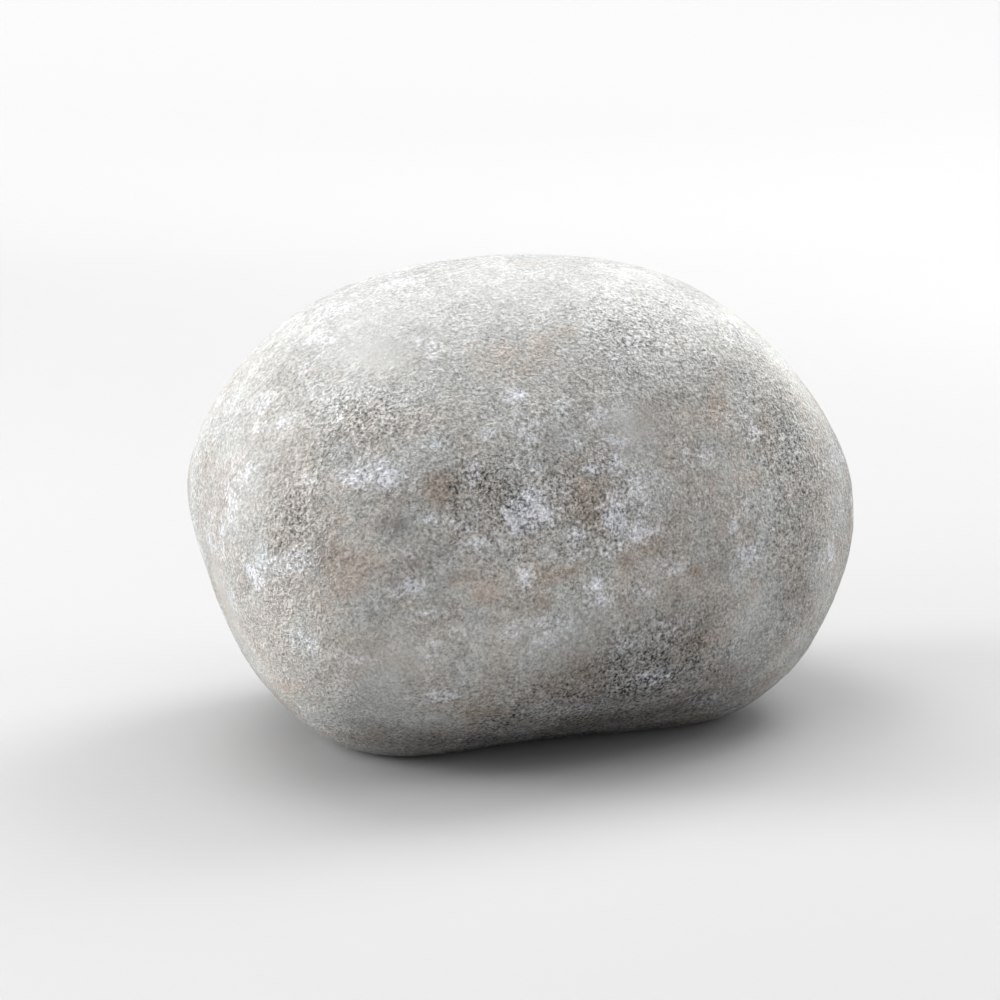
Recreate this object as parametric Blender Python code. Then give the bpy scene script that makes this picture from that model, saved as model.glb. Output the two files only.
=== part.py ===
"""River pebble: one solid stone, worn round by water, resting on its flat underside.

Metres, +Z up. The origin is the middle of the box around the stone, on the surface that it
rests on. +X runs along the stone's length and -Y is its broad front.

The stone starts as an egg-like body that has been worn flatter on many sides. Every worn face
looks in its own direction and lies at its own distance from the heart of the stone, and the
surface runs softly from each face to the next. A few broad swells and dents are added, and the
underside is worn flat, so that the stone rests as it is modelled.
"""

import math

import bmesh
import bpy
from mathutils import Vector

MM = 0.001

# Driving dimensions. Directions are degrees round from +X and degrees above level.

# half the length, width and height of the rounded body before it is worn flatter
BODY_HALF_SIZES = (48.0 * MM, 34.5 * MM, 35.5 * MM)

# (worn face, degrees round, degrees above level, distance from the heart in mm)
WORN_FACES = (
    ("right end", -20, 30, 47.0),
    ("right end, back half", 45, 30, 42.0),
    ("right end, low", -5, -35, 44.0),
    ("right shoulder", -15, 45, 38.5),
    ("right keel", -20, -70, 39.0),
    ("crown", 5, 85, 33.5),
    ("left crown", 175, 80, 36.5),
    ("left shoulder", 165, 45, 40.0),
    ("left end", 165, -10, 41.5),
    ("left keel", 165, -55, 43.5),
    ("front", -85, 5, 33.0),
    ("front brow", -100, 45, 36.0),
    ("front foot", -100, -65, 32.5),
    ("back", 95, 5, 33.0),
    ("back brow", 85, 50, 36.0),
)
# How crisply one worn face turns into the next: 2 gives a ball, 30 a cut gem.
TURN_CRISPNESS = 8.0

# (swell or dent, degrees round, degrees above level, reach in degrees, height in mm)
SWELLS_AND_DENTS = (
    ("swell at the tip of the left end", 165, 5, 16, 0.6),
    ("dent under the left end", 175, -25, 38, -1.1),
    ("swell at the left heel", 200, -45, 20, 0.9),
    ("dent along the front foot", -105, -60, 30, -1.0),
    ("swell at the right heel", -35, -40, 27, 1.7),
    ("dent on the right end", -25, -5, 25, -0.5),
)

REST_DEPTH = 26.5 * MM  # the flat underside lies this far below the heart
REST_RIM = 1.5 * MM  # half the height over which the sides turn into the flat underside
FACETS_PER_SIDE = 24  # facets along each side of the block that the surface is drawn on

STONE_COLOUR = (0.33, 0.32, 0.30, 1.0)
STONE_ROUGHNESS = 0.85


def heading(degrees_round, degrees_up):
    """The unit vector of a direction given as two angles."""
    turn = math.radians(degrees_round)
    lift = math.radians(degrees_up)
    return Vector((math.cos(turn) * math.cos(lift), math.sin(turn) * math.cos(lift), math.sin(lift)))


def distance_to_surface(way, worn, uneven):
    """How far the surface lies from the heart along one unit vector."""
    body = math.sqrt(sum((step / half) ** 2 for step, half in zip(way, BODY_HALF_SIZES)))
    closeness = body**TURN_CRISPNESS
    for face, far in worn:
        closeness += (max(0.0, way.dot(face)) / far) ** TURN_CRISPNESS
    distance = closeness ** (-1.0 / TURN_CRISPNESS)
    for middle, reach, height in uneven:
        share = way.angle(middle) / reach
        if share < 1.0:
            distance += height * (1.0 - share**2) ** 2
    return distance


def height_above_rest(height):
    """Turns a height over the heart into one over the surface below, flat where the stone rests."""
    above = height + REST_DEPTH
    if above <= -REST_RIM:
        return 0.0
    if above >= REST_RIM:
        return above
    return (above + REST_RIM) ** 2 / (4.0 * REST_RIM)


def block_of_facets(mesh):
    """A cube with every side cut into an even grid."""
    bmesh.ops.create_cube(mesh, size=2.0)
    bmesh.ops.subdivide_edges(mesh, edges=mesh.edges[:], cuts=FACETS_PER_SIDE - 1, use_grid_fill=True)


def wear_down(mesh):
    """Moves every corner of the block to the stone's surface and flattens the underside."""
    worn = [(heading(turn, lift), far * MM) for _, turn, lift, far in WORN_FACES]
    uneven = [
        (heading(turn, lift), math.radians(reach), height * MM)
        for _, turn, lift, reach, height in SWELLS_AND_DENTS
    ]
    for corner in mesh.verts:
        # equal angles instead of equal steps, so that the facets come out about the same size
        way = Vector([math.tan(step * math.pi / 4.0) for step in corner.co]).normalized()
        corner.co = way * distance_to_surface(way, worn, uneven)
        corner.co.z = height_above_rest(corner.co.z)


def centre_over_origin(mesh):
    """Puts the middle of the stone's box over the origin."""
    for axis in (0, 1):
        places = [corner.co[axis] for corner in mesh.verts]
        middle = (min(places) + max(places)) / 2.0
        for corner in mesh.verts:
            corner.co[axis] -= middle


def stone_material():
    """Dry, matt grey stone."""
    material = bpy.data.materials.new("stone")
    material.use_nodes = True
    shader = material.node_tree.nodes["Principled BSDF"]
    shader.inputs["Base Color"].default_value = STONE_COLOUR
    shader.inputs["Roughness"].default_value = STONE_ROUGHNESS
    shader.inputs["Metallic"].default_value = 0.0
    return material


def pebble():
    """The whole stone as one object."""
    mesh = bmesh.new()
    block_of_facets(mesh)
    wear_down(mesh)
    centre_over_origin(mesh)
    bmesh.ops.recalc_face_normals(mesh, faces=mesh.faces[:])
    data = bpy.data.meshes.new("pebble")
    mesh.to_mesh(data)
    mesh.free()
    data.shade_smooth()
    data.materials.append(stone_material())
    stone = bpy.data.objects.new("pebble", data)
    bpy.context.collection.objects.link(stone)
    return stone


def main():
    for old in list(bpy.data.objects):
        bpy.data.objects.remove(old, do_unlink=True)
    pebble()


main()
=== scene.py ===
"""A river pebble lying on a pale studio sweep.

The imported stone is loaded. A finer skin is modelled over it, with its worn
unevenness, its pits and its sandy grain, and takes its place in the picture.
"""

import math

import bpy
import numpy as np
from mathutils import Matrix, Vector, noise as field


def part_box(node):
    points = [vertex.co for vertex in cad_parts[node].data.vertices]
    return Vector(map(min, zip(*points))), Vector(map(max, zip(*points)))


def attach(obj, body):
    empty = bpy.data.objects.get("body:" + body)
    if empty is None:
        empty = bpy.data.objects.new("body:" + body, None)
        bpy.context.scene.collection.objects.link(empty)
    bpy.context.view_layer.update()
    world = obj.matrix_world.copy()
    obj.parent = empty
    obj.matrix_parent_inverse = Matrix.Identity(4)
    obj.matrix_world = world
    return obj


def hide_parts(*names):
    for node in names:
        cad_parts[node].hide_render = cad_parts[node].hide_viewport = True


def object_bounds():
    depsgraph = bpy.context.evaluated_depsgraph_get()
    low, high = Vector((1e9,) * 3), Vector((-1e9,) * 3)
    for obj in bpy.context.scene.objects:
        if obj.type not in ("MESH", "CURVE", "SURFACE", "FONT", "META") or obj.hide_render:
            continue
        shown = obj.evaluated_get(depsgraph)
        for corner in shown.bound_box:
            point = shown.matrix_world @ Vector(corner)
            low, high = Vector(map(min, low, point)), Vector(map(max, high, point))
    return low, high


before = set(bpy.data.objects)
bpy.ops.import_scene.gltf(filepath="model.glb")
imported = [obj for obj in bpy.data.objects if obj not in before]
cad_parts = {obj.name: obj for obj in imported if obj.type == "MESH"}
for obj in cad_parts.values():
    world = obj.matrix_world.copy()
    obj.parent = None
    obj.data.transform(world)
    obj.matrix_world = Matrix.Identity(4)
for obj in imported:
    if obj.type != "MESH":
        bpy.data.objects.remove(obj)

PACKED_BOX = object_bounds()
MM = 0.001

bl_info = {
    "name": "River Pebble",
    "version": (1, 0, 0),
    "blender": (4, 5, 0),
    "location": "3D View > Sidebar > Pebble",
    "description": "Models a worn river pebble and the pale sweep that it lies on",
    "category": "Add Mesh",
}

STONE_NODE = "pebble"
STONE_BODY = "root"

# ---- The skin of the stone ---------------------------------------------------------------

# A rounded block round the stone, from which its skin is drawn in
BLANK_SWELL = 1.40
BLANK_LEVELS = 7
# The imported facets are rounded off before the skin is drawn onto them
ROUNDING_LEVELS = 3
EASING_FACTOR = 0.5
EASING_PASSES = 8
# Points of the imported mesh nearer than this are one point
MERGE_DISTANCE = 0.001 * MM
# Each place is found by a ray from this far out, well clear of the stone
RAY_START = 200.0 * MM
# Weights that fade the relief are kept in this many steps
FADE_STEPS = 50.0
# Height above the floor over which the relief fades in, so that the rest face stays flat
REST_FADE = (0.4 * MM, 4.0 * MM)

# Relief: name, texture, width of one rise, whole height, hard or soft, where it is strong
RELIEF = (
    ("broad_unevenness", "CLOUDS", 13.0 * MM, 0.55 * MM, "SOFT_NOISE", "clear"),
    ("worn_dimples", "CLOUDS", 4.5 * MM, 0.22 * MM, "SOFT_NOISE", "clear"),
    ("knock_marks", "CLOUDS", 1.7 * MM, 0.16 * MM, "HARD_NOISE", "rough"),
    ("coarse_grain", "CLOUDS", 0.80 * MM, 0.14 * MM, "SOFT_NOISE", "rough"),
)

# ---- Marks on the stone ------------------------------------------------------------------

# Each mark is placed from the middle of the stone: degrees round from +X, degrees above level,
# half width and half height along the surface in mm, and strength. The long front of the stone
# faces -119 degrees, its blunt left end 151 and its right end -29.
FRONT_HEADING = -119.0
FRONT_RISE = 30.0
PALE_CLOUDS = (
    # Left end
    (-168, 7, 2.4, 3.6, 0.6), (-162, -5, 2.4, 1.4, 0.25), (-171, 0, 0.9, 2.0, 0.6),
    (-160, -2, 1.1, 1.6, 0.6), (-167, 16, 1.6, 1.0, 0.5), (-170, 19, 2.4, 1.6, 0.4),
    # Front, left of the middle
    (-143, 11, 3.2, 1.7, 0.65), (-135, 18, 1.9, 1.4, 0.6), (-135, 5, 2.0, 1.0, 0.6),
    (-129, 13, 1.2, 1.5, 0.7), (-128, 1, 1.8, 0.9, 0.6), (-138, -6, 2.3, 0.9, 0.7),
    (-134, -26, 1.4, 1.1, 0.6), (-123, -15, 1.6, 1.5, 0.5), (-136, -10, 2.0, 0.8, 0.5),
    (-146, -17, 4.0, 2.0, 0.3),
    # Middle of the front
    (-130, 4, 1.6, 1.0, 0.5), (-124, -1, 2.2, 1.0, 0.5), (-113, 10, 1.4, 1.6, 0.5),
    (-110, 1, 1.6, 0.9, 0.5), (-112, -3, 2.2, 0.8, 0.5), (-118, 14, 1.4, 0.9, 0.4),
    (-128, 20, 1.8, 1.0, 0.4), (-108, 20, 1.8, 1.2, 0.5), (-116, 32, 1.6, 0.8, 0.4),
    (-118, 6, 2.6, 2.2, 1.0), (-122, 28, 1.6, 0.9, 0.8), (-120, 21, 1.6, 1.8, 0.8),
    (-120, -5, 1.0, 1.6, 0.6), (-116, -18, 2.2, 1.5, 0.4), (-113, -15, 2.2, 1.1, 0.5),
    (-111, 26, 1.6, 1.5, 0.5), (-104, 25, 1.5, 2.0, 0.4),
    # Front, right of the middle
    (-106, 14, 1.3, 0.8, 0.9), (-101, 15, 1.4, 1.4, 0.9), (-101, 4, 1.5, 3.0, 1.0),
    (-94, 6, 1.1, 0.9, 0.5), (-94, 12, 2.1, 1.5, 0.5), (-103, 19, 2.5, 1.2, 0.5),
    (-102, -2, 1.3, 0.8, 0.6), (-106, -9, 1.3, 1.2, 0.7), (-105, -12, 2.0, 0.9, 0.9),
    (-96, -12, 2.5, 1.1, 0.6), (-100, -21, 1.6, 1.5, 0.5), (-86, -8, 2.0, 0.8, 0.5),
    (-88, 42, 1.6, 1.5, 0.5), (-82, 14, 1.1, 1.0, 0.6), (-74, 28, 1.1, 1.0, 0.5),
    (-72, 18, 1.0, 2.0, 0.3),
    (-97, 9, 1.8, 2.2, 0.6), (-98, 0, 2.0, 1.4, 0.6), (-92, 0, 1.6, 1.2, 0.5),
    (-88, 8, 1.4, 1.4, 0.4), (-90, -6, 2.2, 0.9, 0.5), (-76, 16, 1.6, 1.6, 0.4),
    (-80, 6, 1.4, 1.2, 0.4), (-68, 4, 1.4, 1.8, 0.4),
    # Low on the right
    (-89, -31, 2.3, 1.0, 1.0), (-96, -32, 1.3, 0.7, 0.6), (-69, -6, 1.1, 0.7, 0.8),
    (-66, -7, 2.0, 1.2, 0.6), (-71, -1, 1.1, 1.2, 0.5), (-42, -8, 1.0, 1.8, 0.4),
)
BROWN_STAINS = (
    # Left half of the front
    (-134, 10, 1.9, 2.3, 1.0), (-139, 8, 1.6, 1.1, 0.6), (-148, -4, 5.0, 3.0, 0.35),
    (-156, 1, 2.5, 1.2, 0.5), (-136, -1, 3.0, 1.2, 0.5), (-131, -5, 2.5, 1.5, 0.5),
    (-128, -8, 2.0, 1.5, 0.4), (-124, -24, 3.2, 2.5, 0.6), (-126, -33, 4.0, 1.5, 0.5),
    (-124, 35, 3.6, 2.6, 0.6),
    # Right half of the front
    (-107, 6, 2.8, 2.8, 0.75), (-111, 15, 3.0, 2.0, 0.5), (-114, -5, 3.0, 1.6, 0.7),
    (-99, -5, 1.6, 1.0, 0.6), (-115, -11, 2.0, 1.5, 0.5), (-93, -3, 2.5, 2.0, 0.4),
    (-107, 45, 2.0, 1.5, 0.5), (-120, 37, 2.6, 2.0, 0.5), (-89, 15, 2.0, 1.5, 0.4),
    (-107, -26, 4.0, 2.5, 0.6), (-120, -38, 3.0, 1.3, 0.6),
    # Right end
    (-82, -9, 1.1, 0.7, 0.9), (-78, -24, 1.8, 1.6, 0.7), (-72, -24, 2.6, 1.5, 0.5),
    (-70, 24, 1.6, 1.3, 0.5), (-58, 18, 1.3, 2.2, 0.5), (-74, 9, 2.1, 1.6, 0.5),
    (-70, 10, 1.6, 1.2, 0.4), (-64, -13, 1.6, 1.0, 0.4),
    # Wide, thin and olive
    (-143, -1, 8.0, 4.0, 0.42), (-124, 36, 6.0, 3.6, 0.65), (-80, -22, 7.0, 5.0, 0.45),
    (-112, -29, 9.0, 4.0, 0.45), (-68, 12, 4.0, 4.0, 0.35),
)
DARK_SPECKLE = (
    (-124, 9, 4.2, 2.3, 0.45), (-128, 5, 2.6, 1.5, 0.5), (-121, 4, 2.0, 1.6, 0.6),
    (-140, 4, 2.2, 1.5, 1.0), (-131, -4, 2.0, 0.8, 0.6), (-142, 22, 1.6, 1.0, 0.4),
    (-146, -1, 0.9, 0.6, 0.6), (-140, -4, 1.0, 0.6, 0.5), (-143, -28, 4.0, 2.0, 0.4),
    (-92, 47, 1.8, 0.9, 0.6), (-86, 26, 1.6, 1.6, 0.4), (-97, 18, 2.0, 1.1, 0.5),
    (-99, -5, 1.1, 0.8, 0.8), (-73, -9, 2.6, 0.9, 0.7), (-84, -23, 3.4, 2.5, 0.35),
    (-87, -13, 1.6, 1.5, 0.5), (-53, 3, 1.8, 3.2, 0.4), (-100, -35, 5.0, 1.6, 0.7),
)
# Soft patches where the skin is darker: painted shade, most of all on the undercut low on the
# right and along the foot, and elsewhere in part to make up for lamps that are softer than they
# should be
PAINTED_SHADE_PLACES = (
    (-93, -35, 10.0, 4.5, 0.40), (-114, -41, 10.0, 3.5, 0.50), (-142, -42, 8.0, 2.6, 0.40),
    (-95, -46, 16.0, 4.2, 0.66), (-122, -47, 14.0, 3.4, 0.70), (-78, -42, 7.0, 4.0, 0.54),
    (-97, -57, 17.0, 3.0, 0.88), (-118, -57, 12.0, 2.4, 0.88), (-88, -23, 6.0, 4.0, 0.28),
    (-113, -18, 4.0, 4.0, 0.10), (-137, -3, 3.0, 3.0, 0.14), (-153, 2, 3.2, 2.8, 0.12),
    (-134, 11, 4.2, 3.0, 0.24), (-106, 19, 3.0, 4.5, 0.14), (-87, 26, 3.5, 3.0, 0.14),
    (-168, 24, 5.0, 8.0, 0.12), (-147, 16, 4.0, 2.5, 0.14), (-112, 19, 3.0, 4.0, 0.14),
    (-105, -26, 10.0, 4.0, 0.26),
)
# Soft patches where it is paler: painted light, most of all on the bright upper right and the low
# left end, in part to make up for the lamps
PAINTED_LIGHT_PLACES = (
    (-135, -17, 9.0, 4.0, 0.38), (-125, -18, 7.0, 5.5, 0.42), (-155, -14, 7.0, 7.0, 0.30),
    (-145, -26, 10.0, 6.0, 0.28), (-165, -25, 8.0, 7.0, 0.38), (-145, -3, 4.0, 4.0, 0.20),
    (-57, 45, 9.0, 5.0, 0.48), (-59, 62, 9.0, 6.0, 0.36), (-38, 30, 5.0, 10.0, 0.62),
    (-41, -14, 4.0, 12.0, 0.36), (-43, -31, 6.0, 5.0, 0.40), (-68, -19, 3.5, 3.5, 0.28),
    (-64, 8, 4.0, 4.0, 0.20), (-95, 64, 15.0, 8.0, 0.18), (-84, 53, 7.0, 5.0, 0.28),
    (-56, 8, 5.0, 7.0, 0.12), (-119, 5, 6.0, 3.0, 0.16), (-118, -8, 12.0, 3.5, 0.34),
    (-100, 10, 4.0, 4.0, 0.14), (-150, 26, 5.0, 4.0, 0.10),
)
# Where the skin is knocked rough, and where it is worn smooth
ROUGH_PLACES = (
    (-155, 4, 3.0, 4.0, 0.5), (-147, 22, 5.0, 2.2, 0.8), (-92, 48, 4.5, 3.0, 0.5),
    (-55, 12, 6.0, 9.0, 0.25), (-124, 8, 5.0, 4.0, 1.0),
    (-112, 3, 9.0, 6.0, 0.7), (-92, -27, 9.0, 4.0, 0.6),
)
SMOOTH_PLACES = (
    (-152, 33, 4.5, 3.0, 1.0), (-155, 40, 9.0, 7.0, 0.7), (-143, -18, 4.5, 3.5, 0.5),
    (-178, -12, 4.0, 6.0, 0.9), (-166, 10, 6.0, 10.0, 0.4), (-95, 22, 3.5, 2.2, 0.8),
    (-110, -22, 5.0, 3.0, 0.6), (-128, 58, 12.0, 7.0, 0.8),
)
# Where the skin is even, and yet its sand grains stand out
SANDY_PLACES = (
    (-128, 56, 14.0, 7.0, 0.22), (-80, 46, 9.0, 6.0, 0.22), (-55, 8, 5.0, 12.0, 0.24),
    (-112, -32, 14.0, 5.0, 0.22),
)
# A mark fades over this many of its half sizes
MARK_REACH = 2.0
# Cosines of the angle off the front: chance marks at their strongest up to the first, and
# thinned out for the placed ones from the second
FRONT_FADE = (0.0, 0.5)

# ---- Weathering between the placed marks -------------------------------------------------

# Roughness of the skin away from the placed patches, and how far a patch changes it
BASE_ROUGHNESS = 0.55
PLACED_ROUGHNESS = 0.45
# Sizes of the chance swings of tone
FLECK_WIDTH = 2.4 * MM
MOTTLE_WIDTH = 6.0 * MM
DRIFT_WIDTH = 20.0 * MM
# How fast finer swings weaken, and how much finer each is than the last
SWING_FALLOFF = 0.8
SWING_FINENESS = 2.0
# Marks that fall by chance: property, placed marks, width of one, where its swings start,
# and how high they rise before a mark shows
CHANCE_MARKS = (
    ("pale_cloud", PALE_CLOUDS, 5.5 * MM, (1.3, 9.1, 4.7), 0.05),
    ("brown_stain", BROWN_STAINS, 10.0 * MM, (8.9, 2.3, 6.1), 0.0),
    ("dark_speckle", DARK_SPECKLE, 7.0 * MM, (4.1, 6.7, 8.3), 0.05),
)
CHANCE_RISE = 0.8
CHANCE_STRENGTH = 0.65
# Share of the chance marks that is missing on the front, where marks are placed
FRONT_THINNING = 0.35
# Flecks break up the marks: on smooth skin, and more by this on rough skin
FLECK_IN_MARKS = 0.12
FLECK_BY_ROUGHNESS = 0.26
# Shares of the stone's height between which rain begins to keep it clean
RAINED_HEIGHTS = (0.62, 0.95)
# Lower down, clean stone shows where the mottle lies between these
CLEAN_MOTTLE = (-0.6, 0.6)
# Mean tone, and how far each size of swing changes it
MEAN_TONE = 1.085
FLECK_TONE = 0.21
MOTTLE_TONE = 0.16
DRIFT_TONE = 0.05
SMOOTH_BLOTCH = 0.2
# Contrast of the sand grains: on smooth skin, by sandiness and by its square
GRAIN_CONTRAST = (0.07, 0.90, 0.85)
# Height of the grains on smooth skin, as a share of that on sandy skin
SMOOTH_GRAIN = 0.06
# Creases: width of their patches, where a patch begins and is full, and the least share
CREASED_WIDTH = 6.0 * MM
CREASED_RANGE = (-0.1, 0.6)
LEAST_CREASED = 0.15


def linear(hex_colour):
    """Linear light values of an sRGB hex colour."""
    parts = [int(hex_colour[i:i + 2], 16) / 255 for i in (1, 3, 5)]
    return tuple(c / 12.92 if c <= 0.04045 else ((c + 0.055) / 1.055) ** 2.4 for c in parts)


def solid(colour):
    """A colour with full opacity, as a colour socket takes it."""
    return (*colour, 1.0)


def way(degrees_round, degrees_above):
    """Unit direction from a compass heading and a height above level."""
    turn, rise = math.radians(degrees_round), math.radians(degrees_above)
    level = math.cos(rise)
    return Vector((math.cos(turn) * level, math.sin(turn) * level, math.sin(rise)))


# ---- Settings ----------------------------------------------------------------------------

class PebbleSurface(bpy.types.PropertyGroup):
    """How deep the relief of the skin is, and its colours"""

    relief: bpy.props.FloatProperty(
        name="Relief", description="Share of the full height of the relief that is modelled",
        default=1.0, min=0.0, max=2.0, subtype="FACTOR")
    grain_height: bpy.props.FloatProperty(
        name="Grain Height", description="Height of the finest sandy grain",
        default=1.25 * MM, min=0.0, max=2.0 * MM, unit="LENGTH", precision=5)
    warm_grey: bpy.props.FloatVectorProperty(
        name="Warm Grey", description="Stone where it is weathered warm",
        subtype="COLOR", size=3, min=0.0, max=1.0, default=linear("#938F8A"))
    clean_grey: bpy.props.FloatVectorProperty(
        name="Clean Grey", description="Stone where rain keeps it clean",
        subtype="COLOR", size=3, min=0.0, max=1.0, default=linear("#90918F"))
    pale_mineral: bpy.props.FloatVectorProperty(
        name="Pale Mineral", description="Pale bluish clouds of mineral",
        subtype="COLOR", size=3, min=0.0, max=1.0, default=linear("#B9BCC4"))
    brown_stain: bpy.props.FloatVectorProperty(
        name="Brown Stain", description="Rusty brown stains",
        subtype="COLOR", size=3, min=0.0, max=1.0, default=linear("#827366"))
    dark_grain: bpy.props.FloatVectorProperty(
        name="Dark Grain", description="Dark grains between the pale ones",
        subtype="COLOR", size=3, min=0.0, max=1.0, default=linear("#53514F"))


class PebbleStage(bpy.types.PropertyGroup):
    """The sweep, its lights and the camera"""

    floor_colour: bpy.props.FloatVectorProperty(
        name="Floor Colour", description="Colour of the backdrop paper",
        subtype="COLOR", size=3, min=0.0, max=1.0, default=(0.33, 0.33, 0.33))
    # The glow is painted light: emission on the sheet, with no lamp behind it
    glow: bpy.props.FloatProperty(
        name="Glow", description="Brightness of the lit sheet at the top of its curve",
        default=0.46, min=0.0)
    glow_start: bpy.props.FloatProperty(
        name="Glow Start", description="Radius at which the light behind the sheet begins",
        default=0.20, min=0.0, unit="LENGTH")
    glow_full: bpy.props.FloatProperty(
        name="Glow Full", description="Radius at which the light behind the sheet is full",
        default=1.05, min=0.1, unit="LENGTH")
    flat_radius: bpy.props.FloatProperty(
        name="Flat Radius", description="Radius of the level floor",
        default=0.60, min=0.2, unit="LENGTH")
    sweep_radius: bpy.props.FloatProperty(
        name="Sweep Radius", description="Radius of the curve from the floor up to the wall",
        default=0.60, min=0.1, unit="LENGTH")
    wall_height: bpy.props.FloatProperty(
        name="Wall Height", description="Height of the wall above the curve",
        default=0.10, min=0.0, unit="LENGTH")
    room_light: bpy.props.FloatProperty(
        name="Room Light", description="Brightness of the even light from all round",
        default=0.0, min=0.0)
    light_share: bpy.props.FloatProperty(
        name="Light Share", description="Share of the lamps' listed power",
        default=0.95, min=0.0)
    camera_heading: bpy.props.FloatProperty(
        name="Camera Heading", description="How far round the stone the camera stands",
        default=math.radians(-29.0), subtype="ANGLE")
    camera_rise: bpy.props.FloatProperty(
        name="Camera Rise", description="How far above level the camera stands",
        default=math.radians(11.0), subtype="ANGLE")
    camera_distance: bpy.props.FloatProperty(
        name="Camera Distance", description="From the camera to the point that it aims at",
        default=289.3 * MM, min=0.05, unit="LENGTH")
    camera_aim: bpy.props.FloatVectorProperty(
        name="Camera Aim", description="Point that the camera aims at",
        subtype="TRANSLATION", size=3, unit="LENGTH", default=(-2.98 * MM, 1.29 * MM, 26.88 * MM))
    lens: bpy.props.FloatProperty(
        name="Lens", description="Focal length in millimetres on a 36 mm wide sensor",
        default=85.0, min=10.0)


# ---- Small tools of the bench ------------------------------------------------------------

def put_down_all():
    """Nothing is selected, so the next tool acts on its own piece alone."""
    if bpy.context.object and bpy.context.object.mode != "OBJECT":
        bpy.ops.object.mode_set(mode="OBJECT")
    bpy.ops.object.select_all(action="DESELECT")


def pick_up(piece):
    """Only this piece is selected and worked on."""
    put_down_all()
    piece.select_set(True)
    bpy.context.view_layer.objects.active = piece


def apply_modifier(piece, kind, settings):
    """Adds a modifier with its settings and applies it."""
    pick_up(piece)
    modifier = piece.modifiers.new(kind.title(), kind)
    for name, value in settings.items():
        setattr(modifier, name, value)
    bpy.ops.object.modifier_apply(modifier=modifier.name)


def points_of(piece):
    """Places of all points of a piece's mesh, one row each."""
    places = np.empty(len(piece.data.vertices) * 3)
    piece.data.vertices.foreach_get("co", places)
    return places.reshape(-1, 3)


def ease(values, low, high):
    """0 up to low, 1 from high, and a soft step between them."""
    share = np.clip((values - low) / (high - low), 0.0, 1.0)
    return share * share * (3.0 - 2.0 * share)


def add_node(tree, kind, settings=None, sockets=None):
    """Adds a node, sets its fields, and sets or links its inputs by name or number."""
    node = tree.nodes.new(kind)
    for name, value in (settings or {}).items():
        setattr(node, name, value)
    for name, value in (sockets or {}).items():
        if isinstance(value, bpy.types.NodeSocket):
            tree.links.new(value, node.inputs[name])
        else:
            node.inputs[name].default_value = value
    return node


# ---- The stone ---------------------------------------------------------------------------

def rounded_form():
    """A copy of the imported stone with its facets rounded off, to draw the skin onto."""
    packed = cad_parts[STONE_NODE]
    form = bpy.data.objects.new("rounded_form", packed.data.copy())
    bpy.context.scene.collection.objects.link(form)
    pick_up(form)
    bpy.ops.object.mode_set(mode="EDIT")
    bpy.ops.mesh.select_all(action="SELECT")
    bpy.ops.mesh.remove_doubles(threshold=MERGE_DISTANCE)
    bpy.ops.mesh.tris_convert_to_quads()
    bpy.ops.object.mode_set(mode="OBJECT")
    apply_modifier(form, "SUBSURF", {"levels": ROUNDING_LEVELS})
    return form


def blank_block():
    """A rounded block that encloses the stone, with faces of even size."""
    low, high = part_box(STONE_NODE)
    put_down_all()
    bpy.ops.mesh.primitive_cube_add(size=2.0, location=(0.0, 0.0, 0.0))
    block = bpy.context.object
    apply_modifier(block, "SUBSURF", {"levels": BLANK_LEVELS})
    apply_modifier(block, "CAST", {"cast_type": "SPHERE", "factor": 1.0, "size": 1.0,
                                   "use_radius_as_size": False})
    pick_up(block)
    bpy.ops.transform.resize(value=(high - low) * 0.5 * BLANK_SWELL)
    bpy.ops.transform.translate(value=(low + high) * 0.5)
    bpy.ops.object.transform_apply(location=True, rotation=True, scale=True)
    return block


def mark_strength(piece, marks):
    """How strongly each point of the piece carries these marks, from 0 to 1."""
    places = points_of(piece)
    middle = Vector((PACKED_BOX[0][i] + PACKED_BOX[1][i]) * 0.5 for i in range(3))
    total = np.zeros(len(places))
    for degrees_round, degrees_above, half_width, half_height, strength in marks:
        half_width, half_height = half_width * MM, half_height * MM
        out = way(degrees_round, degrees_above)
        hit, spot, normal, _ = piece.ray_cast(middle + out * RAY_START, -out)
        if not hit:
            raise RuntimeError(f"no stone at {degrees_round} degrees round")
        across = Vector((0.0, 0.0, 1.0)).cross(normal).normalized()
        upward = normal.cross(across)
        offset = places - np.array(spot)
        share = np.sqrt((offset @ np.array(across) / half_width) ** 2
                        + (offset @ np.array(upward) / half_height) ** 2
                        + (offset @ np.array(normal) / max(half_width, half_height)) ** 2)
        total = np.maximum(total, strength * ease(-share, -MARK_REACH, 0.0))
    return total


def facing_share(piece):
    """1 on the front and top that carry the placed marks, fading to 0 round the sides."""
    places = points_of(piece)
    ways = places - (places.min(0) + places.max(0)) * 0.5
    ways /= np.linalg.norm(ways, axis=1, keepdims=True)
    return ease(ways @ np.array(way(FRONT_HEADING, FRONT_RISE)), *FRONT_FADE)


def drifting_field(piece, width, octaves, start):
    """Smooth chance swings over the skin, about -1 to 1, one rise to each width."""
    shift = Vector(start)
    scale = 1.0 / width
    return np.array([
        field.fractal(point.co * scale + shift, SWING_FALLOFF, SWING_FINENESS, octaves)
        for point in piece.data.vertices])


def store_share(piece, name, values):
    """Keeps one number for each point under a name that the finish reads."""
    layer = piece.data.attributes.new(name, "FLOAT", "POINT")
    layer.data.foreach_set("value", values.astype(np.float32))


def fade_group(piece, name, values):
    """Keeps one weight for each point under a name that a modifier reads."""
    group = piece.vertex_groups.new(name=name)
    steps = np.round(values * FADE_STEPS) / FADE_STEPS
    for level in np.unique(steps):
        members = np.flatnonzero(steps == level)
        group.add(members.tolist(), float(level), "REPLACE")


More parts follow.
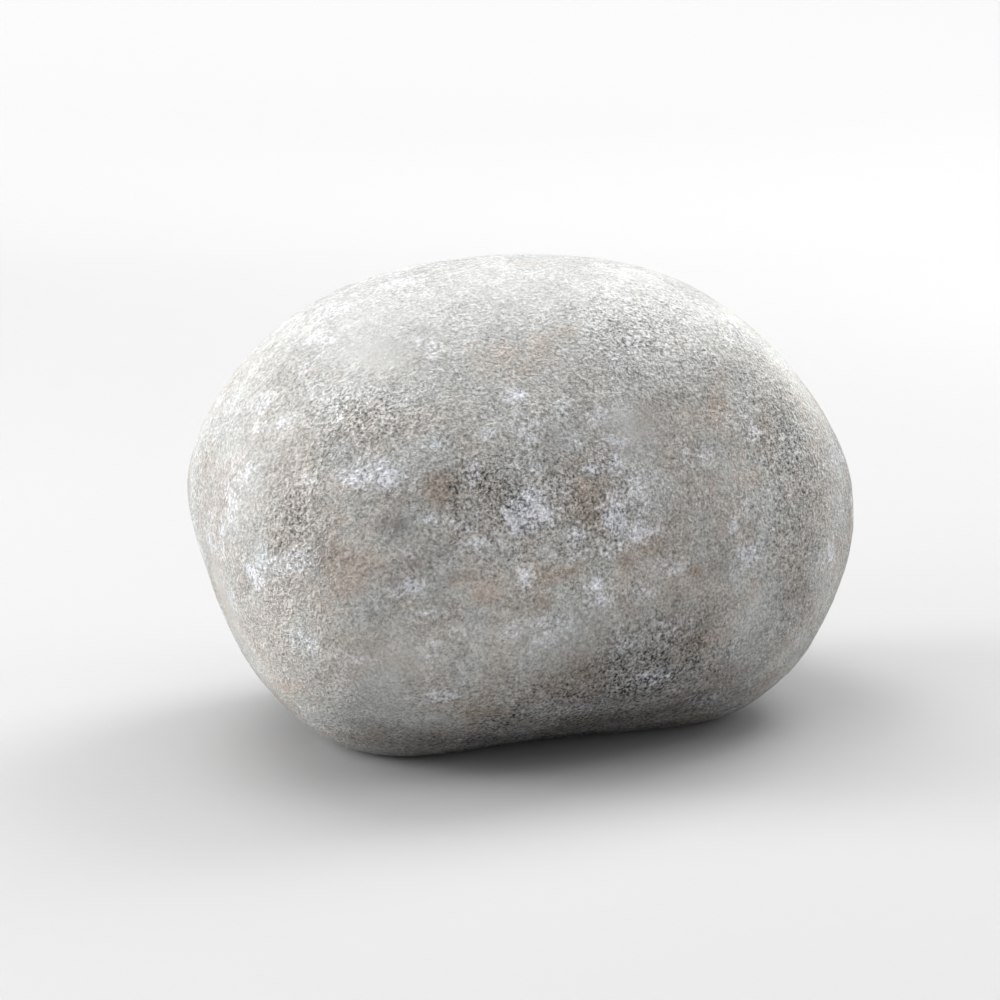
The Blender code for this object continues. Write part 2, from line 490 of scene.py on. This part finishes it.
def carve_relief(piece, surface):
    """Presses the listed relief into the skin, coarse first."""
    for name, kind, width, height, hardness, where in RELIEF:
        texture = bpy.data.textures.new(name, kind)
        texture.noise_scale = width
        texture.noise_depth = 2
        texture.noise_basis = "ORIGINAL_PERLIN"
        texture.noise_type = hardness
        apply_modifier(piece, "DISPLACE", {
            "texture": texture,
            "texture_coords": "LOCAL",
            "strength": height * surface.relief,
            "mid_level": 0.5,
            "vertex_group": where,
        })
        bpy.data.textures.remove(texture)


def fit_packed_box(piece):
    """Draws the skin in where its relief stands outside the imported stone's box."""
    places = points_of(piece)
    low, high = (np.array(corner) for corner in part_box(STONE_NODE))
    found_low, found_high = places.min(0), places.max(0)
    share = np.minimum(1.0, (high - low) / (found_high - found_low))
    middle = (found_low + found_high) * 0.5
    places = (places - middle) * share + middle
    places += np.maximum(low - places.min(0), 0.0) - np.maximum(places.max(0) - high, 0.0)
    places[:, 2] -= places[:, 2].min()
    piece.data.vertices.foreach_set("co", places.ravel())
    piece.data.update()


def colour_skin(stone, roughness):
    """Lays the marks, the weathering, and the broad tone with its painted light and shade on the
    skin, for the finish to read.
    """
    fleck = drifting_field(stone, FLECK_WIDTH, 3, (3.1, 0.0, 1.7))
    mottle = drifting_field(stone, MOTTLE_WIDTH, 3, (0.0, 5.3, 2.9))
    drift = drifting_field(stone, DRIFT_WIDTH, 1, (7.7, 1.9, 0.0))
    loose = 1.0 - FRONT_THINNING * facing_share(stone)
    for name, marks, width, start, threshold in CHANCE_MARKS:
        chance = ease(drifting_field(stone, width, 3, start), threshold, threshold + CHANCE_RISE)
        store_share(stone, name, mark_strength(stone, marks) + loose * CHANCE_STRENGTH * chance
                    + (FLECK_IN_MARKS + FLECK_BY_ROUGHNESS * roughness) * fleck)
    # Rain keeps the upper side clean, so the earth's warm tint lies lower down
    heights = points_of(stone)[:, 2] / PACKED_BOX[1][2]
    clean = ease(heights, *RAINED_HEIGHTS)
    store_share(stone, "clean_share", clean + (1.0 - clean) * ease(mottle, *CLEAN_MOTTLE))
    # Painted light from the paler patches and painted shade from the darker ones, laid into the
    # broad tone
    painted_light_and_shade = mark_strength(stone, PAINTED_LIGHT_PLACES) - mark_strength(stone, PAINTED_SHADE_PLACES)
    blotch = (SMOOTH_BLOTCH + roughness) * (FLECK_TONE * fleck + MOTTLE_TONE * mottle)
    store_share(stone, "tone_with_painted_light", MEAN_TONE + blotch + DRIFT_TONE * drift + painted_light_and_shade)
    sandy = np.clip(roughness + mark_strength(stone, SANDY_PLACES), 0.0, 1.0)
    least, by_sand, by_square = GRAIN_CONTRAST
    store_share(stone, "grain_contrast", least + by_sand * sandy + by_square * sandy ** 2)
    store_share(stone, "grain_relief", SMOOTH_GRAIN + (1.0 - SMOOTH_GRAIN) * sandy)
    creases = ease(drifting_field(stone, CREASED_WIDTH, 2, (2.2, 7.4, 0.6)), *CREASED_RANGE)
    store_share(stone, "crease_share", LEAST_CREASED + (1.0 - LEAST_CREASED) * creases)


class MESH_OT_river_pebble_add(bpy.types.Operator):
    """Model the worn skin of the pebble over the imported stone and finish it"""

    bl_idname = "mesh.river_pebble_add"
    bl_label = "River Pebble"
    bl_options = {"REGISTER", "UNDO"}

    def execute(self, context):
        surface = context.scene.pebble_surface
        form = rounded_form()
        stone = blank_block()
        stone.name = "river_pebble"
        stone.data.name = "river_pebble"
        apply_modifier(stone, "SHRINKWRAP", {
            "target": form,
            "wrap_method": "PROJECT",
            "use_positive_direction": False,
            "use_negative_direction": True,
        })
        bpy.data.objects.remove(form)
        apply_modifier(stone, "SMOOTH", {
            "factor": EASING_FACTOR, "iterations": EASING_PASSES})

        heights = points_of(stone)[:, 2]
        clear = ease(heights, *REST_FADE)
        rough = mark_strength(stone, ROUGH_PLACES)
        smooth = mark_strength(stone, SMOOTH_PLACES)
        roughness = np.clip(
            BASE_ROUGHNESS + PLACED_ROUGHNESS * rough - PLACED_ROUGHNESS * smooth, 0.0, 1.0)
        fade_group(stone, "clear", clear)
        fade_group(stone, "rough", clear * roughness)
        carve_relief(stone, surface)
        stone.vertex_groups.clear()
        fit_packed_box(stone)

        colour_skin(stone, roughness)
        stone.data.materials.clear()
        stone.data.materials.append(worn_greywacke(surface))
        pick_up(stone)
        bpy.ops.object.shade_smooth()
        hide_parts(STONE_NODE)
        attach(stone, STONE_BODY)
        put_down_all()
        return {"FINISHED"}


# ---- The finish of the stone -------------------------------------------------------------

# Roughness of each grain noise: how strongly its finer detail shows
GRAIN_BREAKUP = 0.65
# Each grain noise is moved on by this, so that no two line up
GRAIN_STEP = (31.0 * MM, 0.0, 7.0 * MM)
# Roughness of the shader: dry stone that scatters light with hardly a sheen
SKIN_ROUGHNESS = 0.88
# Sand grains of greywacke are 0.3 to 0.5 mm wide, and a few clusters of them about 1 mm:
# name, width, detail, share in the colour of the grains, share in their height
GRAINS = (
    ("sand", 0.33 * MM, 2.0, 2.4, 0.34),
    ("speck", 0.50 * MM, 2.0, 1.6, 0.38),
    ("crease", 0.90 * MM, 2.0, 0.8, 0.55),
)
# Fine creases run where the widest of these noises crosses nought: half width, depth, and darkness
# of their painted shade
CREASE_HALF_WIDTH = 0.055
CREASE_DEPTH = 0.26
CREASE_PAINTED_SHADE = 0.27
# Share of the skin that lies outside them, so that they leave the mean tone as it is
CREASE_OPEN = 0.75
# Marks in the order they lie on each other: share on the skin, colour, how far single grains
# break up its edge, where it begins and is full, and how much it covers
MARKS = (
    ("brown_stain", "brown_stain", 1.1, 0.22, 0.90, 0.62),
    ("dark_speckle", "dark_grain", 1.8, 0.30, 1.0, 0.60),
    ("pale_cloud", "pale_mineral", 1.7, 0.20, 1.05, 0.64),
)


def worn_greywacke(surface):
    """Greywacke: fine grey sandstone, tumbled by a river and dry.

    Its skin is a matt, sandy grain that scatters light evenly, mottled warm and clean grey,
    with pale bluish mineral clouds, rusty stains and dark grains between them. Painted light
    and shade lie in its broad tone, and painted shade in its fine creases.
    """
    material = bpy.data.materials.new("dry tumbled greywacke")
    material.use_nodes = True
    tree = material.node_tree
    tree.nodes.clear()
    place = add_node(tree, "ShaderNodeTexCoord").outputs["Object"]
    shares = {name: add_node(tree, "ShaderNodeAttribute", {"attribute_name": name}).outputs["Fac"]
              for name in ("clean_share", "brown_stain", "dark_speckle", "pale_cloud",
                           "tone_with_painted_light", "grain_contrast", "grain_relief", "crease_share")}

    # The grains swing about nought: their colour is one sum of them, their height another
    swings, colour_swing, height = {}, 0.0, 0.0
    for name, width, detail, colour_share, height_share in GRAINS:
        moved = add_node(tree, "ShaderNodeMapping", None, {
            "Vector": place, "Location": tuple(len(swings) * step for step in GRAIN_STEP)})
        grain = add_node(tree, "ShaderNodeTexNoise", None, {
            "Vector": moved.outputs[0], "Scale": 1.0 / width, "Detail": detail,
            "Roughness": GRAIN_BREAKUP})
        swings[name] = add_node(tree, "ShaderNodeMath", {"operation": "SUBTRACT"}, {
            0: grain.outputs["Fac"], 1: 0.5}).outputs[0]
        colour_swing = add_node(tree, "ShaderNodeMath", {"operation": "MULTIPLY_ADD"}, {
            0: swings[name], 1: colour_share, 2: colour_swing}).outputs[0]
        height = add_node(tree, "ShaderNodeMath", {"operation": "MULTIPLY_ADD"}, {
            0: swings[name], 1: height_share, 2: height}).outputs[0]

    # Fine creases between the grains, darkened with painted shade
    distance = add_node(tree, "ShaderNodeMath", {"operation": "ABSOLUTE"}, {0: swings["crease"]})
    open_skin = add_node(tree, "ShaderNodeMapRange", {"interpolation_type": "SMOOTHSTEP"}, {
        "Value": distance.outputs[0], "From Max": CREASE_HALF_WIDTH}).outputs[0]
    creased = add_node(tree, "ShaderNodeMath", {"operation": "SUBTRACT"}, {
        0: open_skin, 1: CREASE_OPEN})
    creased = add_node(tree, "ShaderNodeMath", {"operation": "MULTIPLY"}, {
        0: creased.outputs[0], 1: shares["crease_share"]}).outputs[0]
    height = add_node(tree, "ShaderNodeMath", {"operation": "MULTIPLY_ADD"}, {
        0: creased, 1: CREASE_DEPTH, 2: height}).outputs[0]
    colour_swing = add_node(tree, "ShaderNodeMath", {"operation": "MULTIPLY_ADD"}, {
        0: creased, 1: CREASE_PAINTED_SHADE, 2: colour_swing}).outputs[0]

    # Weathered warm stone and clean grey stone, in clouds about 6 mm wide
    colour = add_node(tree, "ShaderNodeMix", {"data_type": "RGBA"}, {
        0: shares["clean_share"], 6: solid(surface.warm_grey),
        7: solid(surface.clean_grey)}).outputs[2]
    for share, mark_colour, breaking, begins, full, cover in MARKS:
        amount = add_node(tree, "ShaderNodeMath", {"operation": "MULTIPLY_ADD"}, {
            0: swings["speck"], 1: breaking, 2: shares[share]})
        mask = add_node(tree, "ShaderNodeMapRange", {"interpolation_type": "SMOOTHSTEP"}, {
            "Value": amount.outputs[0], "From Min": begins, "From Max": full, "To Max": cover})
        colour = add_node(tree, "ShaderNodeMix", {"data_type": "RGBA"}, {
            0: mask.outputs[0], 6: colour, 7: solid(getattr(surface, mark_colour))}).outputs[2]

    # Tone of the single grains, stronger where the skin is knocked rough, on the broad tone with
    # its painted light and shade
    tone = add_node(tree, "ShaderNodeMath", {"operation": "MULTIPLY_ADD"}, {
        0: colour_swing, 1: shares["grain_contrast"], 2: shares["tone_with_painted_light"]})
    colour = add_node(tree, "ShaderNodeMix", {"data_type": "RGBA", "blend_type": "MULTIPLY"}, {
        0: 1.0, 6: colour, 7: tone.outputs[0]}).outputs[2]
    bump = add_node(tree, "ShaderNodeBump", None, {
        "Strength": shares["grain_relief"], "Distance": surface.grain_height, "Height": height})
    shader = add_node(tree, "ShaderNodeBsdfPrincipled", None, {
        "Base Color": colour, "Roughness": SKIN_ROUGHNESS, "Normal": bump.outputs[0]})
    add_node(tree, "ShaderNodeOutputMaterial", None, {"Surface": shader.outputs[0]})
    return material


# ---- The stage ---------------------------------------------------------------------------

# Lamps: name, degrees round, degrees above level, distance, side of its square face, power.
# The powers were fitted by a solver and rounded.
LAMPS = (
    ("ceiling", 61.0, 89.0, 1.40, 2.00, 31.5),
    ("left", 151.0, 30.0, 0.75, 0.35, 2.6),
    ("left_low", 151.0, 12.0, 0.68, 0.22, 4.4),
    ("front_left", 196.0, 30.0, 0.75, 0.35, 1.5),
    ("top_left_back", 106.0, 70.0, 0.75, 0.35, 2.4),
    ("back", 61.0, 25.0, 0.75, 0.35, 0.5),
    ("right_back", 16.0, 30.0, 0.75, 0.35, 1.3),
    ("right_back_high", 16.0, 50.0, 0.75, 0.35, 3.7),
    ("right", 331.0, 30.0, 0.75, 0.35, 1.3),
)
LAMP_AIM = Vector((0.0, 0.0, 28.0 * MM))
SWEEP_SIDES = 96
SWEEP_STEPS = 16
# Clouds of pulp in the backdrop: their width, and how far they change its tone
PULP_WIDTH = 3.0 * MM
PULP_TONE = 0.005
SENSOR_WIDTH = 36.0


def backdrop_paper(stage):
    """Matt and even backdrop sheet, with a painted glow up its curve: emission with no lamp behind
    it.

    It gives the eye a pale floor that turns white, with no line where the wall begins.
    """
    material = bpy.data.materials.new("matt backdrop sheet with painted glow")
    material.use_nodes = True
    material.cycles.emission_sampling = "NONE"
    tree = material.node_tree
    tree.nodes.clear()
    place = add_node(tree, "ShaderNodeTexCoord").outputs["Object"]
    level = add_node(tree, "ShaderNodeVectorMath", {"operation": "MULTIPLY"},
                     {0: place, 1: (1.0, 1.0, 0.0)}).outputs[0]
    radius = add_node(tree, "ShaderNodeVectorMath", {"operation": "LENGTH"},
                      {0: level}).outputs["Value"]
    # Painted glow: emission that grows with the radius up the curve
    glow = add_node(tree, "ShaderNodeMapRange", {"interpolation_type": "SMOOTHSTEP"}, {
        "Value": radius, "From Min": stage.glow_start, "From Max": stage.glow_full,
        "To Max": stage.glow}).outputs[0]
    pulp = add_node(tree, "ShaderNodeTexNoise", None, {"Vector": place, "Scale": 1.0 / PULP_WIDTH})
    colour = tuple(stage.floor_colour)
    mix = add_node(tree, "ShaderNodeMix", {"data_type": "RGBA"}, {
        0: pulp.outputs["Fac"], 6: solid([c * (1.0 - PULP_TONE) for c in colour]),
        7: solid([c * (1.0 + PULP_TONE) for c in colour])})
    shader = add_node(tree, "ShaderNodeBsdfPrincipled", None, {
        "Base Color": mix.outputs[2], "Roughness": 1.0, "Specular IOR Level": 0.0,
        "Emission Color": (1.0, 1.0, 1.0, 1.0), "Emission Strength": glow})
    add_node(tree, "ShaderNodeOutputMaterial", None, {"Surface": shader.outputs[0]})
    return material


def paper_sweep(stage):
    """A round floor whose edge curves up into a low wall, the same from every side."""
    put_down_all()
    bpy.ops.mesh.primitive_circle_add(vertices=SWEEP_SIDES, radius=stage.flat_radius,
                                      fill_type="NGON", location=(0.0, 0.0, 0.0))
    sweep = bpy.context.object
    sweep.name = "paper_sweep"
    bpy.ops.object.mode_set(mode="EDIT")
    bpy.ops.mesh.select_mode(type="EDGE")
    bpy.ops.mesh.select_all(action="SELECT")
    radius, height = stage.flat_radius, 0.0
    rings = [(stage.flat_radius + stage.sweep_radius * math.sin(turn),
              stage.sweep_radius * (1.0 - math.cos(turn)))
             for turn in (math.radians(90.0 * (i + 1) / SWEEP_STEPS) for i in range(SWEEP_STEPS))]
    rings.append((rings[-1][0], rings[-1][1] + stage.wall_height))
    for ring_radius, ring_height in rings:
        bpy.ops.mesh.extrude_edges_move(
            TRANSFORM_OT_translate={"value": (0.0, 0.0, ring_height - height)})
        bpy.ops.transform.resize(value=(ring_radius / radius, ring_radius / radius, 1.0),
                                 center_override=(0.0, 0.0, 0.0))
        radius, height = ring_radius, ring_height
    bpy.ops.object.mode_set(mode="OBJECT")
    sweep.data.materials.append(backdrop_paper(stage))
    bpy.ops.object.shade_smooth()
    put_down_all()


def hang_lamps(stage):
    """Hangs the soft lamps round the stone, each facing it and unseen by the camera."""
    for name, heading, rise, distance, side, power in LAMPS:
        out = way(heading, rise)
        lamp = bpy.data.lights.new(name, "AREA")
        lamp.shape = "SQUARE"
        lamp.size = side
        lamp.energy = power * stage.light_share
        holder = bpy.data.objects.new(name, lamp)
        holder.location = LAMP_AIM + out * distance
        holder.rotation_euler = out.to_track_quat("Z", "Y").to_euler()
        holder.visible_camera = False
        bpy.context.scene.collection.objects.link(holder)


def fill_room(stage):
    """Even light from all round, as in a white room."""
    room = bpy.data.worlds.new("white_room")
    room.use_nodes = True
    back = room.node_tree.nodes["Background"]
    back.inputs["Color"].default_value = (1.0, 1.0, 1.0, 1.0)
    back.inputs["Strength"].default_value = stage.room_light
    bpy.context.scene.world = room


def set_camera(stage):
    """Stands the camera a little above the stone, looking slightly down."""
    turn, rise = stage.camera_heading, stage.camera_rise
    level = math.cos(rise)
    back = Vector((math.sin(turn) * level, -math.cos(turn) * level, math.sin(rise)))
    camera = bpy.data.objects.new("camera", bpy.data.cameras.new("camera"))
    camera.data.lens = stage.lens
    camera.data.sensor_width = SENSOR_WIDTH
    camera.location = Vector(stage.camera_aim) + back * stage.camera_distance
    camera.rotation_euler = back.to_track_quat("Z", "Y").to_euler()
    bpy.context.scene.collection.objects.link(camera)
    bpy.context.scene.camera = camera


class MESH_OT_pebble_stage_add(bpy.types.Operator):
    """Lay out the pale sweep, hang the lamps and stand the camera"""

    bl_idname = "mesh.pebble_stage_add"
    bl_label = "Studio Stage"
    bl_options = {"REGISTER", "UNDO"}

    def execute(self, context):
        stage = context.scene.pebble_stage
        paper_sweep(stage)
        hang_lamps(stage)
        fill_room(stage)
        set_camera(stage)
        context.scene.view_settings.view_transform = "Standard"
        return {"FINISHED"}


# ---- Panel and registration --------------------------------------------------------------

class VIEW3D_PT_river_pebble(bpy.types.Panel):
    """Sizes, colours and the two steps of the making"""

    bl_idname = "VIEW3D_PT_river_pebble"
    bl_label = "River Pebble"
    bl_space_type = "VIEW_3D"
    bl_region_type = "UI"
    bl_category = "Pebble"

    def draw(self, context):
        layout = self.layout
        for heading, group, step in (
            ("Stone", context.scene.pebble_surface, MESH_OT_river_pebble_add),
            ("Stage", context.scene.pebble_stage, MESH_OT_pebble_stage_add),
        ):
            box = layout.box()
            box.label(text=heading)
            for name in group.bl_rna.properties.keys():
                if name not in ("rna_type", "name"):
                    box.prop(group, name)
            box.operator(step.bl_idname)


CLASSES = (
    PebbleSurface,
    PebbleStage,
    MESH_OT_river_pebble_add,
    MESH_OT_pebble_stage_add,
    VIEW3D_PT_river_pebble,
)


def register():
    """Makes the settings, the steps and the panel known."""
    for item in CLASSES:
        bpy.utils.register_class(item)
    bpy.types.Scene.pebble_surface = bpy.props.PointerProperty(type=PebbleSurface)
    bpy.types.Scene.pebble_stage = bpy.props.PointerProperty(type=PebbleStage)


def unregister():
    """Takes the settings, the steps and the panel away again."""
    del bpy.types.Scene.pebble_stage
    del bpy.types.Scene.pebble_surface
    for item in reversed(CLASSES):
        bpy.utils.unregister_class(item)


def main():
    """Makes the stone and its stage."""
    register()
    bpy.ops.mesh.river_pebble_add()
    bpy.ops.mesh.pebble_stage_add()


if __name__ == "__main__":
    main()
